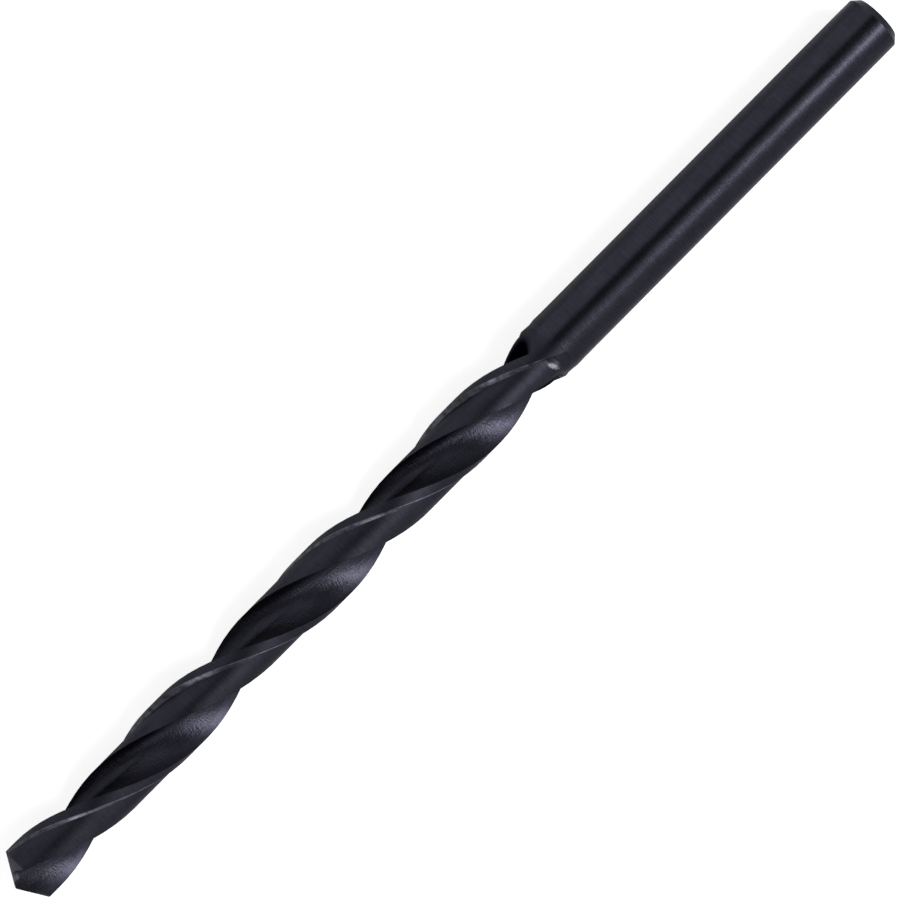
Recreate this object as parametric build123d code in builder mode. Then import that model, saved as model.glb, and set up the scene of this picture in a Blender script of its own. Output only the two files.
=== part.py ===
from build123d import *
import os
from math import asin, atan, cos, degrees, pi, radians, sin, sqrt, tan

# A parallel-shank twist drill, one piece of hardened steel, in millimetres and degrees.
# It lies along X with its point towards -X and its axis half a diameter above z = 0.

# Driving dimensions
drill_diameter = 3.97
shank_relief = 0.03           # of the shank's diameter under the drill's
overall_length = 76.7
flute_length = 48.1
helix_lead = 26.1
point_angle = 118.0
web_thickness = 0.76
leading_edge_turn = -28.0     # of land b at the chisel edge, from +Y towards +Z

# Lands: a full-diameter margin behind each leading edge, then cleared body up to the heel
margin_angle = 21.0
margin_step_angle = 4.5
land_a_clearance_radius = 1.64
land_b_clearance_radius = 1.85
land_a_heel_angle = 89.0
land_b_heel_angle = 84.5

# Run-out: each flute ends in a ramp square to its helix, and the clearance on a turned shoulder
flute_ramp_slope = 35.0
flute_ramp_lip_radius = 2.5
shoulder_length = 0.8         # the shoulder's last, gentle stretch up to the full diameter
shoulder_drop = 0.08
shoulder_foot_slope = 28.0
shoulder_knee_radius = 0.4

# Point: each flank is ground as a cone whose side lies along the cutting lip, so that the lips
# start a little behind the chisel edge, which is the drill's very end
flank_cone_half_angle = 50.0
flank_cone_setback = 1.0      # of the cone's tip, back along the line of the lip

# Shank: a hair under the drill's diameter, from just behind the flutes to a chamfered end
shank_setback = 0.6           # of the shank's start, behind the end of the flutes
shank_taper_length = 0.6
shank_chamfer_length = 0.44
shank_chamfer_depth = 0.39

# Sizes that follow from the driving ones
radius = drill_diameter / 2
shank_radius = radius - shank_relief / 2
shank_start = flute_length + shank_setback
half_web = web_thickness / 2
half_point = point_angle / 2
point_length = radius / tan(radians(half_point))
helix_angle = degrees(atan(2 * pi * radius / helix_lead))
flank_bend_radius = flank_cone_setback * tan(radians(flank_cone_half_angle))
chisel_drop = half_web**2 / (2 * flank_bend_radius * sin(radians(half_point)))

# How far each cut runs past what it takes off, so that no two surfaces coincide
clear_radius = 1.6 * radius   # the far side of each cut, well outside the drill
cone_height = 8 * point_length
wall_shares = (1.2, 1, 0.8, 0.6, 0.45, 0.33, 0.25)    # of the radius, where the flute wall is set out
heel_overrun_angle = 40       # of the flute's heel-side arc past the heel
outer_overrun_angle = 15      # of the flute cut's far side past the heel
land_overrun_angle = 20       # of the clearance past the heel
cut_overrun = radius          # of each twisted cut past both of its ends
ramp_lip_rise = 0.02          # of each ramp's end above the full diameter, in mm
shoulder_overrun = 1.02       # of the turned shoulder's last stretch

lying = Plane(origin=(-overall_length / 2, 0, radius), x_dir=(0, 1, 0), z_dir=(1, 0, 0))


def polar(distance, angle):
    return Vector(distance * cos(radians(angle)), distance * sin(radians(angle)))


def twist_at(distance):
    return 360 * distance / helix_lead


def turned_plane(distance, angle):
    # Square to the axis, this far from the end of the blank and turned this far about the axis
    return Plane(lying.location * Pos(0, 0, distance) * Rot(0, 0, angle))


def section_plane(leading_edge):
    # Where the cuts start, clear of the point, with the local x axis through the leading edge
    return turned_plane(-cut_overrun, leading_edge - twist_at(cut_overrun))


def twisted(section):
    reach = flute_length + 2 * cut_overrun
    return Solid.extrude_linear_with_rotation(
        section.sketch.faces()[0], section_plane(0).origin, lying.z_dir * reach, twist_at(reach)
    )


def lip_side_angle(at_radius):
    # The flute wall that makes a straight cutting lip at this point angle and helix
    reach = sqrt(radius**2 - half_web**2) - sqrt(max(at_radius**2 - half_web**2, 0))
    turn = degrees(asin(half_web / radius) - asin(half_web / at_radius))
    return turn + twist_at(reach / tan(radians(half_point)))


def room_before_ramp(leading_edge, centre_angle):
    # Everything on the point's side of a ramp that climbs along the helix to the full diameter
    across = turned_plane(flute_length, leading_edge + centre_angle + twist_at(flute_length))
    along = across.z_dir * cos(radians(helix_angle)) + across.y_dir * sin(radians(helix_angle))
    top = radius + ramp_lip_rise
    lip = -flute_ramp_lip_radius * tan(radians(flute_ramp_slope / 2))
    beyond = 2 * clear_radius
    foot = lip - (top + beyond) / tan(radians(flute_ramp_slope))
    with BuildPart() as room:
        with BuildSketch(Plane(origin=across.origin, x_dir=along, z_dir=along.cross(across.x_dir))):
            with BuildLine():
                ramp = FilletPolyline(
                    (foot, -beyond), (lip, top), (beyond, top), radius=flute_ramp_lip_radius
                )
                Polyline(
                    ramp @ 1,
                    (beyond, beyond),
                    (-overall_length, beyond),
                    (-overall_length, -beyond),
                    ramp @ 0,
                )
            make_face()
        extrude(amount=overall_length, both=True)
    return room.part


def room_before_shoulder():
    # Everything on the point's side of the turned shoulder where the clearance ends
    knee = flute_length - shoulder_length
    knee_height = radius - shoulder_drop
    foot = knee - knee_height / tan(radians(shoulder_foot_slope))
    end = (knee + shoulder_length * shoulder_overrun, knee_height + shoulder_drop * shoulder_overrun)
    with BuildPart() as room:
        with BuildSketch(Plane(origin=lying.origin, x_dir=lying.z_dir, z_dir=(0, -1, 0))):
            with BuildLine():
                ramp = FilletPolyline((foot, 0), (knee, knee_height), end, radius=shoulder_knee_radius)
                Polyline(
                    ramp @ 1,
                    (end[0], 2 * clear_radius),
                    (-clear_radius, 2 * clear_radius),
                    (-clear_radius, 0),
                    ramp @ 0,
                )
            make_face()
        revolve(axis=Axis(lying.origin, lying.z_dir))
    return room.part


def flute_cut(leading_edge, heel_radius, heel_angle):
    # The space ahead of one leading edge, back to the other land's heel
    wall_radii = [radius * share for share in wall_shares] + [half_web]
    wall_points = [polar(r, lip_side_angle(r)) for r in wall_radii]
    root_direction = polar(1, lip_side_angle(half_web) - 90)
    heel = polar(heel_radius, heel_angle - 180)
    heel_side = TangentArc(wall_points[-1], heel, tangent=root_direction, mode=Mode.PRIVATE)
    past_heel = heel_side.arc_center + (heel - heel_side.arc_center).rotate(Axis.Z, heel_overrun_angle)
    outer_start = heel_angle - 180 + outer_overrun_angle
    outer = [polar(clear_radius, angle) for angle in (outer_start, (heel_angle - 180) / 2, 0)]
    with BuildSketch(section_plane(leading_edge)) as section:
        with BuildLine():
            Spline(*wall_points, tangents=(wall_points[1] - wall_points[0], root_direction))
            TangentArc(wall_points[-1], past_heel, tangent=root_direction)
            Line(past_heel, outer[0])
            ThreePointArc(*outer)
            Line(outer[-1], wall_points[0])
        make_face()
    return twisted(section) & room_before_ramp(leading_edge, (heel_angle - 180) / 2)


def clearance_cut(leading_edge, clearance_radius, heel_angle):
    # The thin space over a land, from the margin's back edge to past the heel
    step_end = margin_angle + margin_step_angle
    past_heel = heel_angle + land_overrun_angle
    middle = (step_end + past_heel) / 2
    step_foot = polar(clearance_radius, step_end)
    step_top = polar(radius, margin_angle)
    past_step = step_top + (step_top - step_foot)
    with BuildSketch(section_plane(leading_edge)) as section:
        with BuildLine():
            inner = [polar(clearance_radius, angle) for angle in (step_end, middle, past_heel)]
            outer = [polar(clear_radius, angle) for angle in (past_heel, middle, margin_angle)]
            ThreePointArc(*inner)
            Line(inner[-1], outer[0])
            ThreePointArc(*outer)
            Polyline(outer[-1], past_step, step_foot)
        make_face()
    return twisted(section) & room_before_shoulder()


def flank_waste(leading_edge):
    # What the wheel takes off the blank's end to leave the flank behind one cutting lip
    lean = half_point - flank_cone_half_angle
    end_view = turned_plane(0, leading_edge + twist_at(point_length))
    lip = end_view.x_dir * sin(radians(half_point)) + end_view.z_dir * cos(radians(half_point))
    cone_tip = end_view.origin - end_view.z_dir * chisel_drop - end_view.y_dir * half_web
    cone_tip -= lip * flank_cone_setback
    cone_axis = end_view.x_dir * sin(radians(lean)) + end_view.z_dir * cos(radians(lean))
    cone_radius = cone_height * tan(radians(flank_cone_half_angle))
    cone = Cone(cone_radius, 0, cone_height, align=(Align.CENTER, Align.CENTER, Align.MAX))
    with BuildPart() as waste:
        with BuildSketch(lying.offset(-clear_radius)):
            Circle(clear_radius)
        extrude(amount=clear_radius + 2 * point_length)
        add(Plane(origin=cone_tip, z_dir=-cone_axis) * cone, mode=Mode.SUBTRACT)
    return waste.part


waste = [
    flute_cut(leading_edge_turn, land_a_clearance_radius, land_a_heel_angle),
    flute_cut(leading_edge_turn + 180, land_b_clearance_radius, land_b_heel_angle),
    clearance_cut(leading_edge_turn, land_b_clearance_radius, land_b_heel_angle),
    clearance_cut(leading_edge_turn + 180, land_a_clearance_radius, land_a_heel_angle),
    flank_waste(leading_edge_turn),
    flank_waste(leading_edge_turn + 180),
]

with BuildPart() as drill_bit:
    with BuildSketch(lying.offset(-cut_overrun)):
        Circle(radius)
    extrude(amount=cut_overrun + shank_start)
    body_end = drill_bit.faces().sort_by(Axis.X)[-1]
    step = radius - shank_radius
    chamfer(body_end.edges(), length=step, length2=shank_taper_length, reference=body_end)
    with BuildSketch(lying.offset(shank_start)):
        Circle(shank_radius)
    extrude(amount=overall_length - shank_start)
    shank_end = drill_bit.faces().sort_by(Axis.X)[-1]
    chamfer(shank_end.edges(), length=shank_chamfer_depth, length2=shank_chamfer_length, reference=shank_end)
    add(waste, mode=Mode.SUBTRACT)

drill_bit.part.label = "drill_bit"
os.makedirs("parts", exist_ok=True)
export_step(drill_bit.part, "parts/drill_bit.step")
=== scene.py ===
import math

import bmesh
import bpy
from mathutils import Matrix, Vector


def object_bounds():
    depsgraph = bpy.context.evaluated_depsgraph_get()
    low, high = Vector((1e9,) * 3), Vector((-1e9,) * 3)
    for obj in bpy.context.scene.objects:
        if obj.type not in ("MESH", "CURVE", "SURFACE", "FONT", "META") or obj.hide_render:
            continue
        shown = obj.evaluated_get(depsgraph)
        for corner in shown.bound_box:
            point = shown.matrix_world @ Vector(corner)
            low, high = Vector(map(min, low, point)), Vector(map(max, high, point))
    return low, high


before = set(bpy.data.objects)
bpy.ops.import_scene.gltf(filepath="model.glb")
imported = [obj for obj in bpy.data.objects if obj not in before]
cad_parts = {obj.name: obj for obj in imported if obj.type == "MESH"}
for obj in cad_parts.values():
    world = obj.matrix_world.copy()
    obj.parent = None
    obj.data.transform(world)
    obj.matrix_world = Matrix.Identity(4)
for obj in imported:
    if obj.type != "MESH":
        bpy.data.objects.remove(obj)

cadLow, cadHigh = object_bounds()
drill = bpy.data.objects["drill_bit"]
axisHeight = (cadLow.z + cadHigh.z) / 2
drillRadius = (cadHigh.z - cadLow.z) / 2
print("frame loaded, axis height", round(axisHeight * 1000, 3), "mm")

# camera, straight above and a little off the middle, close enough for some perspective
cameraSet = {
    "sidewaysX": 0.00029,
    "sidewaysY": -0.000064,
    "aboveAxis": 0.1915,
    "turn": -45.23,
    "seenWidth": 0.0564,
    "sensor": 36.0,
    "clipStart": 0.001,
    "clipEnd": 20.0,
}


def makeCamera(s):
    data = bpy.data.cameras.new("camera")
    data.sensor_width = s["sensor"]
    data.lens = s["sensor"] * s["aboveAxis"] / s["seenWidth"]
    data.clip_start = s["clipStart"]
    data.clip_end = s["clipEnd"]
    camera = bpy.data.objects.new("camera", data)
    camera.location = (s["sidewaysX"], s["sidewaysY"], axisHeight + s["aboveAxis"])
    camera.rotation_euler = (0, 0, math.radians(s["turn"]))
    bpy.context.collection.objects.link(camera)
    bpy.context.scene.camera = camera


makeCamera(cameraSet)
print("camera placed")


# node helpers
def newMaterial(name):
    material = bpy.data.materials.new(name)
    material.use_nodes = True
    tree = material.node_tree
    tree.nodes.clear()
    return material, tree


def addNode(tree, kind, **settings):
    node = tree.nodes.new(kind)
    for key, value in settings.items():
        setattr(node, key, value)
    return node


def feed(tree, socket, value):
    # a number or colour goes on the socket itself, anything else is linked to it
    if isinstance(value, (int, float)):
        socket.default_value = value
    elif isinstance(value, tuple):
        socket.default_value = (*value, 1)
    else:
        tree.links.new(value, socket)


def mathNode(tree, operation, *values, clamp=False):
    node = addNode(tree, "ShaderNodeMath", operation=operation, use_clamp=clamp)
    for socket, value in zip(node.inputs, values):
        feed(tree, socket, value)
    return node.outputs[0]


def product(tree, first, *others):
    for value in others:
        first = mathNode(tree, "MULTIPLY", first, value)
    return first


def weightedSum(tree, *parts):
    # the sum of several values, each taken by its own share
    products = [product(tree, value, share) for value, share in parts]
    total = products[0]
    for value in products[1:]:
        total = mathNode(tree, "ADD", total, value)
    return total


def mapRange(tree, value, fromMin, fromMax, toMin=0.0, toMax=1.0):
    node = addNode(tree, "ShaderNodeMapRange", interpolation_type="SMOOTHSTEP")
    tree.links.new(value, node.inputs["Value"])
    node.inputs["From Min"].default_value = fromMin
    node.inputs["From Max"].default_value = fromMax
    node.inputs["To Min"].default_value = toMin
    node.inputs["To Max"].default_value = toMax
    return node.outputs["Result"]


def fade(tree, value, start, end):
    # 1 before start, falling to 0 at end
    return mapRange(tree, value, start, end, 1.0, 0.0)


def band(tree, value, low, high, soft):
    # 1 between low and high, falling to 0 over soft outside
    return product(tree, mapRange(tree, value, low - soft, low), fade(tree, value, high, high + soft))


def vectorOf(tree, x, y, z):
    node = addNode(tree, "ShaderNodeCombineXYZ")
    for socket, value in zip(node.inputs, (x, y, z)):
        tree.links.new(value, socket)
    return node.outputs[0]


def partsOf(tree, source):
    node = addNode(tree, "ShaderNodeSeparateXYZ")
    tree.links.new(source, node.inputs[0])
    return list(node.outputs)


def vectorNode(tree, operation, source, amounts):
    node = addNode(tree, "ShaderNodeVectorMath", operation=operation)
    tree.links.new(source, node.inputs[0])
    node.inputs[1].default_value = amounts
    return node.outputs[0]


def noise(tree, source, sizes, detail=3.0, roughness=0.6):
    # the source divided by the grain's sizes, so that one unit of it is one grain
    node = addNode(tree, "ShaderNodeTexNoise")
    tree.links.new(vectorNode(tree, "DIVIDE", source, sizes), node.inputs["Vector"])
    node.inputs["Scale"].default_value = 1.0
    node.inputs["Detail"].default_value = detail
    node.inputs["Roughness"].default_value = roughness
    return node.outputs["Fac"]


def mixValue(tree, amount, first, second):
    node = addNode(tree, "ShaderNodeMix", data_type="FLOAT")
    for socket, value in zip((node.inputs[0], node.inputs[2], node.inputs[3]), (amount, first, second)):
        feed(tree, socket, value)
    return node.outputs[0]


def mixColour(tree, amount, first, second):
    node = addNode(tree, "ShaderNodeMix", data_type="RGBA")
    for socket, value in zip((node.inputs[0], node.inputs[6], node.inputs[7]), (amount, first, second)):
        feed(tree, socket, value)
    return node.outputs[2]


# black oxide over ground steel, with a painted highlight along the back edges of the margins
# lengths are in metres and angles in degrees, and an angle is counted past the leading edge
drillSet = {
    "lead": 0.0261,
    "leadingEdgeTurn": -28.0,
    "landSpacing": 180.0,
    "fluteLength": 0.0481,
    "fluteDepthRadius": 0.00158,
    "fluteEdgeFade": 0.00008,
    "marginAngle": 21.0,
    "heelAngle": 87.0,
    "heelFade": 3.0,
    "shankFade": (-0.0018, 0.0002),         # from the end of the flutes
    # colours
    "dark": (0.028, 0.028, 0.040),
    "pale": (0.044, 0.044, 0.060),
    "patches": (0.36, 0.64),                # pattern levels of the dark and the pale
    "edgeTint": (0.86, 0.86, 0.90),
    "dullTint": (0.15, 0.15, 0.20),
    # grinding marks: sizes of a grain along the drill, across it and up
    "ringSize": (0.00006, 0.0011, 0.0011),
    "grainSize": (0.00009, 0.00009, 0.00009),
    "cloudSize": (0.0022, 0.0009, 0.0009),
    "cloudRoughness": 0.55,
    "streakSize": (1 / 0.35, 0.00007, 0.0012),      # past the edge, out from the axis, from the tip
    "chatterSize": (0.0001, 16.0, 0.0003),          # from the tip, past the edge, out from the axis
    "chatterDetail": 2.0,
    "chatterRoughness": 0.5,
    "chatterLevel": 0.5,                    # of its pattern, where the surface stays as it is
    "cloudShare": 0.3,
    "grainShare": 0.3,
    "marksShare": 0.4,
    "grainLevels": (0.3, 0.7),
    # painted shade in the ramps where the flutes run out
    "ramp": (0.006, 0.006, 0.009),
    "rampLength": 0.0028,
    "rampPaleEnd": 0.0008,
    "rampFade": 0.0009,
    "rampSkin": (0.00055, 0.00005),         # below the full radius, from painted black shade to plain oxide
    # the painted highlight along the step behind each margin
    "stepHighlight": (0.20, 0.20, 0.245),
    "highlightAhead": 0.4,
    "highlightWidth": 3.4,
    "highlightFade": 2.4,
    "highlightEdgeFade": 0.00005,
    "highlightStop": (0.0016, 0.0012),           # before the end of the flutes
    "highlightPatchSize": (0.0006, 0.0006, 0.0006),
    "highlightPatches": (0.3, 0.62),
    "highlightLeast": 0.25,
    # the point's flanks
    "flank": (0.085, 0.082, 0.10),
    "flankSlope": 0.6,
    "flankFall": 0.000004,                  # for each degree behind the lip
    "flankFade": (0.00004, 0.0001),
    # one painted highlight, where a margin's relief ends at the shoulder, placed from the tip, across and
    # up
    "glintColour": (0.34, 0.34, 0.38),
    "glintAt": (0.04688, -0.00104, 0.0036),
    "glintSize": (0.00024, 0.00050, 0.00070),
    "glintSlant": 0.32,
    "glintRagged": 0.15,
    "glintSolid": 0.5,                      # share of its size that is painted in full
    "glintRoughness": 0.5,
    # gloss and relief
    "shankRoughness": 0.27,
    "landRoughness": 0.44,
    "fluteRoughness": 0.41,
    "roughnessSpread": 0.04,
    "anisotropy": 0.3,
    "anisotropyTurn": 0.25,
    "reliefStrength": 0.5,
    "reliefDepth": 0.000006,
    "marksRelief": 0.6,
    "grainRelief": 0.5,
    "chatterRelief": 10.0,
}


def drillPlaces(tree, s):
    # distance from the tip and from the axis, and the angle past the leading edge
    place = addNode(tree, "ShaderNodeTexCoord").outputs["Object"]
    along, across, height = partsOf(tree, place)
    up = mathNode(tree, "SUBTRACT", height, axisHeight)
    squares = mathNode(tree, "ADD", product(tree, across, across), product(tree, up, up))
    turn = mathNode(tree, "DEGREES", mathNode(tree, "ARCTAN2", up, across))
    fromTip = mathNode(tree, "SUBTRACT", along, cadLow.x)
    twist = product(tree, fromTip, 360 / s["lead"])
    past = mathNode(tree, "SUBTRACT", mathNode(tree, "SUBTRACT", turn, twist), s["leadingEdgeTurn"])
    return {
        "place": place,
        "fromTip": fromTip,
        "out": mathNode(tree, "SQRT", squares),
        "past": mathNode(tree, "FLOORED_MODULO", past, s["landSpacing"]),
    }


def drillZones(tree, s, at):
    # how far each point is before the shank, past a heel and inside a flute, from 0 to 1
    shankFrom, shankTo = [s["fluteLength"] + shift for shift in s["shankFade"]]
    beforeShank = fade(tree, at["fromTip"], shankFrom, shankTo)
    pastHeel = band(tree, at["past"], s["heelAngle"], s["landSpacing"], s["heelFade"])
    sunk = fade(tree, at["out"], s["fluteDepthRadius"] - s["fluteEdgeFade"], s["fluteDepthRadius"])
    inFlute = product(tree, mathNode(tree, "MAXIMUM", sunk, pastHeel), beforeShank)
    return beforeShank, pastHeel, inFlute


def grindingMarks(tree, s, at, inFlute):
    # rings round the lands and the shank, streaks along the flutes, and an all-over grain
    rings = noise(tree, at["place"], s["ringSize"])
    streaks = noise(tree, vectorOf(tree, at["past"], at["out"], at["fromTip"]), s["streakSize"])
    grain = noise(tree, at["place"], s["grainSize"])
    return mixValue(tree, inFlute, rings, streaks), grain


def fluteChatter(tree, s, at, inFlute):
    # short marks one after another down the helix, up and down from the flute's own surface
    downHelix = vectorOf(tree, at["fromTip"], at["past"], at["out"])
    marks = noise(tree, downHelix, s["chatterSize"], s["chatterDetail"], s["chatterRoughness"])
    return product(tree, mathNode(tree, "SUBTRACT", marks, s["chatterLevel"]), inFlute)


def rampShade(tree, s, at, pastHeel):
    # painted shade: near-black in the ramps, fading out towards the full diameter
    rampFrom, rampTo = [s["fluteLength"] - s[key] for key in ("rampLength", "rampPaleEnd")]
    nearRamp = band(tree, at["fromTip"], rampFrom, rampTo, s["rampFade"])
    blackBelow, plainAbove = [drillRadius - depth for depth in s["rampSkin"]]
    return product(tree, nearRamp, pastHeel, fade(tree, at["out"], blackBelow, plainAbove))


def paintedStepHighlight(tree, s, at):
    # painted highlight: a pale, broken line where the rounded step edge would catch the lamp
    highlightFrom, highlightTo = s["marginAngle"] - s["highlightAhead"], s["marginAngle"] + s["highlightWidth"]
    line = band(tree, at["past"], highlightFrom, highlightTo, s["highlightFade"])
    landRadius = s["fluteDepthRadius"]
    onLand = mapRange(tree, at["out"], landRadius, landRadius + s["highlightEdgeFade"])
    stopFrom, stopTo = [s["fluteLength"] - distance for distance in s["highlightStop"]]
    beforeShoulder = fade(tree, at["fromTip"], stopFrom, stopTo)
    patches = noise(tree, at["place"], s["highlightPatchSize"])
    broken = mapRange(tree, patches, *s["highlightPatches"], s["highlightLeast"], 1.0)
    return product(tree, line, onLand, beforeShoulder, broken)


def flankShine(tree, s, at, pastHeel):
    flankAt = weightedSum(tree, (at["out"], s["flankSlope"]), (at["past"], s["flankFall"]))
    behind = mathNode(tree, "SUBTRACT", at["fromTip"], flankAt)
    return product(tree, fade(tree, behind, *s["flankFade"]), mathNode(tree, "SUBTRACT", 1.0, pastHeel))


def paintedGlint(tree, s, at, grain):
    # a painted highlight: a slanted patch with a ragged edge
    tipShift, across, height = s["glintAt"]
    shifted = vectorNode(tree, "SUBTRACT", at["place"], (cadLow.x + tipShift, across, height))
    x, y, z = partsOf(tree, shifted)
    slanted = vectorOf(tree, mathNode(tree, "ADD", x, product(tree, y, s["glintSlant"])), y, z)
    reach = addNode(tree, "ShaderNodeVectorMath", operation="LENGTH")
    tree.links.new(vectorNode(tree, "DIVIDE", slanted, s["glintSize"]), reach.inputs[0])
    ragged = mapRange(tree, grain, *s["grainLevels"], -s["glintRagged"], s["glintRagged"])
    return fade(tree, mathNode(tree, "ADD", reach.outputs["Value"], ragged), s["glintSolid"], 1.0)


def blackOxide(s):
    material, tree = newMaterial("blackOxide")
    at = drillPlaces(tree, s)
    beforeShank, pastHeel, inFlute = drillZones(tree, s, at)
    marks, grain = grindingMarks(tree, s, at, inFlute)
    chatter = fluteChatter(tree, s, at, inFlute)
    cloud = noise(tree, at["place"], s["cloudSize"], roughness=s["cloudRoughness"])
    ramp = rampShade(tree, s, at, pastHeel)
    stepHighlight = paintedStepHighlight(tree, s, at)
    glint = paintedGlint(tree, s, at, grain)

    patchy = weightedSum(tree, (cloud, s["cloudShare"]), (grain, s["grainShare"]), (marks, s["marksShare"]))
    finish = mixColour(tree, mapRange(tree, patchy, *s["patches"]), s["dark"], s["pale"])
    # painted shade, near-black, in the ramps where the flutes run out
    finish = mixColour(tree, ramp, finish, s["ramp"])
    # painted highlight along each margin's step
    finish = mixColour(tree, stepHighlight, finish, s["stepHighlight"])
    finish = mixColour(tree, flankShine(tree, s, at, pastHeel), finish, s["flank"])
    # painted highlight spot where a margin's relief ends at the shoulder
    finish = mixColour(tree, glint, finish, s["glintColour"])
    # the specular tint is dulled under the painted ramp shade and under the painted step highlight
    tint = mixColour(tree, mathNode(tree, "MAXIMUM", ramp, stepHighlight), s["edgeTint"], s["dullTint"])

    rough = mixValue(tree, beforeShank, s["shankRoughness"], s["landRoughness"])
    rough = mixValue(tree, inFlute, rough, s["fluteRoughness"])
    spread = mapRange(tree, grain, *s["grainLevels"], -s["roughnessSpread"], s["roughnessSpread"])
    rough = mixValue(tree, glint, mathNode(tree, "ADD", rough, spread), s["glintRoughness"])

    bump = addNode(tree, "ShaderNodeBump")
    bump.inputs["Strength"].default_value = s["reliefStrength"]
    bump.inputs["Distance"].default_value = s["reliefDepth"]
    relief = weightedSum(
        tree, (marks, s["marksRelief"]), (grain, s["grainRelief"]), (chatter, s["chatterRelief"])
    )
    tree.links.new(relief, bump.inputs["Height"])
    aroundAxis = addNode(tree, "ShaderNodeTangent", direction_type="RADIAL", axis="X")

    steel = addNode(tree, "ShaderNodeBsdfPrincipled")
    steel.inputs["Metallic"].default_value = 1.0
    steel.inputs["Anisotropic"].default_value = s["anisotropy"]
    steel.inputs["Anisotropic Rotation"].default_value = s["anisotropyTurn"]
    tree.links.new(finish, steel.inputs["Base Color"])
    tree.links.new(tint, steel.inputs["Specular Tint"])
    tree.links.new(rough, steel.inputs["Roughness"])
    tree.links.new(bump.outputs[0], steel.inputs["Normal"])
    tree.links.new(aroundAxis.outputs[0], steel.inputs["Tangent"])
    output = addNode(tree, "ShaderNodeOutputMaterial")
    tree.links.new(steel.outputs[0], output.inputs["Surface"])
    return material


drill.data.materials.clear()
drill.data.materials.append(blackOxide(drillSet))
print("black oxide finish on the drill")

# floor, which the camera sees brighter than it is lit
floorSet = {
    "size": 6.0,
    "colour": (0.55, 0.55, 0.55),
    "glow": 0.80,
    "glowInMetal": 0.05,
}


def paleFloor(s):
    material, tree = newMaterial("paleFloor")
    matt = addNode(tree, "ShaderNodeBsdfDiffuse")
    feed(tree, matt.inputs["Color"], s["colour"])
    rays = addNode(tree, "ShaderNodeLightPath").outputs
    shiny = mathNode(tree, "ADD", rays["Is Glossy Ray"], rays["Is Transmission Ray"], clamp=True)
    glow = addNode(tree, "ShaderNodeEmission")
    strength = weightedSum(tree, (rays["Is Camera Ray"], s["glow"]), (shiny, s["glowInMetal"]))
    tree.links.new(strength, glow.inputs["Strength"])
    both = addNode(tree, "ShaderNodeAddShader")
    tree.links.new(matt.outputs[0], both.inputs[0])
    tree.links.new(glow.outputs[0], both.inputs[1])
    output = addNode(tree, "ShaderNodeOutputMaterial")
    tree.links.new(both.outputs[0], output.inputs["Surface"])
    return material


def makeFloor(s):
    mesh = bpy.data.meshes.new("floor")
    bm = bmesh.new()
    bmesh.ops.create_grid(bm, x_segments=1, y_segments=1, size=s["size"] / 2)
    bm.to_mesh(mesh)
    bm.free()
    floor = bpy.data.objects.new("floor", mesh)
    bpy.context.collection.objects.link(floor)
    mesh.materials.append(paleFloor(s))


makeFloor(floorSet)
print("floor laid")

# light tent: a soft panel on each long side, dim overhead and past both ends
tentSet = {
    "dim": 0.112,
    "farPanel": 0.76,
    "nearPanel": 0.496,
    "farEdge": (-28.0, -13.0),      # lean from straight up, towards the near side
    "nearEdge": (2.0, 20.0),
    "middleTilt": 3.0,              # tilt from straight up, towards the shank's end
    "fullTilt": 8.0,
    "lowTilt": 34.0,
    "endShare": 0.25,
}


def makeTent(s):
    world = bpy.data.worlds.new("tent")
    bpy.context.scene.world = world
    world.use_nodes = True
    tree = world.node_tree
    tree.nodes.clear()
    along, across, up = partsOf(tree, addNode(tree, "ShaderNodeTexCoord").outputs["Generated"])
    towardsNear = product(tree, across, -1.0)
    lean = mathNode(tree, "DEGREES", mathNode(tree, "ARCTAN2", towardsNear, up))
    tilt = mathNode(tree, "DEGREES", mathNode(tree, "ARCSINE", along))
    far = mapRange(tree, lean, *s["farEdge"], s["farPanel"], 0.0)
    near = mapRange(tree, lean, *s["nearEdge"], 0.0, s["nearPanel"])
    offMiddle = mathNode(tree, "ABSOLUTE", mathNode(tree, "SUBTRACT", tilt, s["middleTilt"]))
    spread = mapRange(tree, offMiddle, s["fullTilt"], s["lowTilt"], 1.0, s["endShare"])
    panels = product(tree, mathNode(tree, "ADD", far, near), spread)
    tent = mathNode(tree, "ADD", panels, s["dim"])
    rays = addNode(tree, "ShaderNodeLightPath").outputs
    back = addNode(tree, "ShaderNodeBackground")
    back.inputs["Color"].default_value = (1, 1, 1, 1)
    tree.links.new(mathNode(tree, "MAXIMUM", tent, rays["Is Camera Ray"]), back.inputs["Strength"])
    output = addNode(tree, "ShaderNodeOutputWorld")
    tree.links.new(back.outputs[0], output.inputs["Surface"])


# the main soft lamp towards the shank's end, and a small low one off the point
lampSets = {
    "softLamp": {"size": 0.24, "away": 0.6, "lean": 37.0, "tilt": 31.0, "power": 3.0},
    "lowLamp": {"size": 0.16, "away": 0.6, "lean": 76.0, "tilt": -43.0, "power": 0.5},
}


def makeLamp(name, s):
    data = bpy.data.lights.new(name, "AREA")
    data.shape = "SQUARE"
    data.size = s["size"]
    data.energy = s["power"]
    lamp = bpy.data.objects.new(name, data)
    lean, tilt = math.radians(s["lean"]), math.radians(s["tilt"])
    outward = Vector((math.sin(tilt), -math.cos(tilt) * math.sin(lean), math.cos(tilt) * math.cos(lean)))
    lamp.location = outward * s["away"] + Vector((0, 0, axisHeight))
    lamp.rotation_euler = outward.to_track_quat("Z", "Y").to_euler()
    bpy.context.collection.objects.link(lamp)


makeTent(tentSet)
for lampName, lampSet in lampSets.items():
    makeLamp(lampName, lampSet)
bpy.context.scene.view_settings.view_transform = "Standard"
print("tent and lamps ready")
